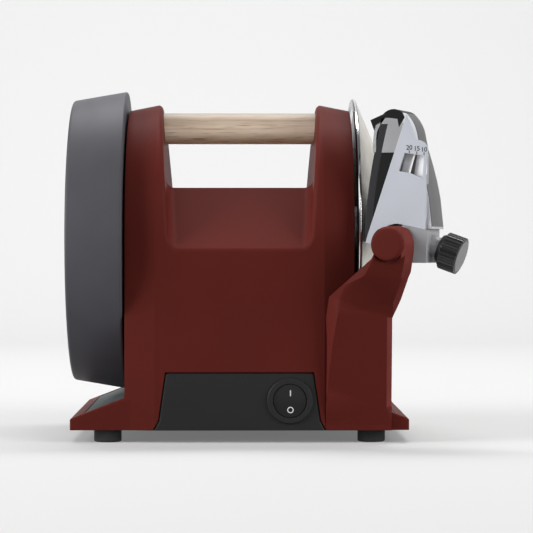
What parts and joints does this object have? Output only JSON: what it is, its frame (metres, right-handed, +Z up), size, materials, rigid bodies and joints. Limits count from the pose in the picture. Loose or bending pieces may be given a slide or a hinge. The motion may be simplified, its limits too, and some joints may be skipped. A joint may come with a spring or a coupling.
{
  "type": "electric knife sharpener",
  "caption": "Bench knife sharpener: a geared motor in a red housing turns a conical grinding wheel and a honing wheel; a tilting guide holds the blade.",
  "frame": {"origin": "centre of the envelope in plan, at the height of the table under the feet", "axes": "+X along the shaft towards the grinding wheel, +Y from the switch side to the rear, +Z up"},
  "size_m": [0.2696, 0.2321, 0.241],
  "materials": {
    "red_enamel": "satin brownish-red enamel",
    "black_plastic": "fine-grained black",
    "rocker_plastic": "smooth black",
    "tray_mat": "fine dark-grey grain",
    "foot_rubber": "matte",
    "steel": "brushed",
    "honing_cover": "smooth dark-grey honing surface",
    "grit_face": "radially brushed, pale warm grey",
    "handle_wood": "oiled pale wood",
    "guide_grey": "light grey satin",
    "casting_grey": "mid-grey satin",
    "pad_black": "smooth black",
    "knob_black": "ribbed black",
    "knob_face": "smooth grey",
    "gear_plastic": "natural white",
    "lamination": "laminated steel",
    "copper_wire": "lacquered copper wire",
    "cast_alloy": "cast",
    "chrome": "polished",
    "pointer_black": "black"
  },
  "bodies": {
    "housing_body": {"housing": "red_enamel", "support_arm": "red_enamel", "base_plate": "black_plastic", "front_plate": "black_plastic", "rear_plate": "black_plastic", "switch_bezel": "black_plastic", "power_inlet": "black_plastic", "left_tray": "tray_mat", "right_tray": "tray_mat", "carry_handle": "handle_wood", "front_left_foot": "foot_rubber", "front_right_foot": "foot_rubber", "rear_left_foot": "foot_rubber", "rear_right_foot": "foot_rubber", "base_screws": "steel", "left_bearing": "steel", "right_bearing": "steel", "gear_plate": "steel", "counter_stud": "steel", "motor_bell_left": "cast_alloy", "motor_bell_right": "cast_alloy", "motor_stator": "lamination", "stator_windings": "copper_wire", "run_capacitor": "black_plastic", "capacitor_clip": "steel", "guide_axle": "steel", "axle_clip": "steel", "axle_cap": "red_enamel", "angle_pointer": "pointer_black"},
    "drive_shaft": {"main_shaft": "steel", "honing_wheel": "honing_cover", "honing_washer": "steel", "honing_nut": "steel", "diamond_wheel": "grit_face", "diamond_hub": "cast_alloy", "diamond_nut": "steel", "drive_gear": "gear_plastic"},
    "counter_shaft": {"counter_gear": "gear_plastic", "counter_pinion": "gear_plastic"},
    "rotor": {"motor_shaft": "steel", "motor_rotor": "lamination", "motor_fan": "black_plastic", "motor_pinion": "gear_plastic"},
    "switch": {"switch_rocker": "rocker_plastic"},
    "knife_guide": {"guide_body": "casting_grey", "scale_plate": "guide_grey", "rest_pad": "pad_black", "pad_backing": "pad_black", "guide_bow": "casting_grey", "top_cap": "pad_black", "blade_spring": "chrome"},
    "clamp_knob": {"lock_knob": "knob_black", "knob_cap": "knob_face", "clamp_screw": "steel"}
  },
  "joints": [
    {"name": "shaft_spin", "type": "hinge", "parent": "housing_body", "child": "drive_shaft", "pos_m": [-0.0177, 0.011, 0.136], "axis": [1, 0, 0], "continuous": true},
    {"name": "counter_spin", "type": "hinge", "parent": "housing_body", "child": "counter_shaft", "pos_m": [-0.0177, 0.023, 0.10206], "axis": [1, 0, 0], "continuous": true},
    {"name": "rotor_spin", "type": "hinge", "parent": "housing_body", "child": "rotor", "pos_m": [-0.0177, 0.011, 0.07456], "axis": [1, 0, 0], "continuous": true},
    {"name": "switch_tip", "type": "hinge", "parent": "housing_body", "child": "switch", "pos_m": [0.016, -0.0818, 0.0284], "axis": [1, 0, 0], "range_deg": [-5, 5]},
    {"name": "guide_tilt", "type": "hinge", "parent": "housing_body", "child": "knife_guide", "pos_m": [0.09056, -0.0846, 0.133], "axis": [0.3746, 0.9272, 0], "range_deg": [-7, 7]},
    {"name": "clamp_turn", "type": "hinge", "parent": "knife_guide", "child": "clamp_knob", "pos_m": [0.11678, -0.09519, 0.12969], "axis": [0.874, -0.3531, -0.3338], "range_deg": [-270, 0]}
  ],
  "couplings": [
    {"joint": "counter_spin", "follows": "shaft_spin", "ratio": -5},
    {"joint": "rotor_spin", "follows": "shaft_spin", "ratio": 20}
  ]
}
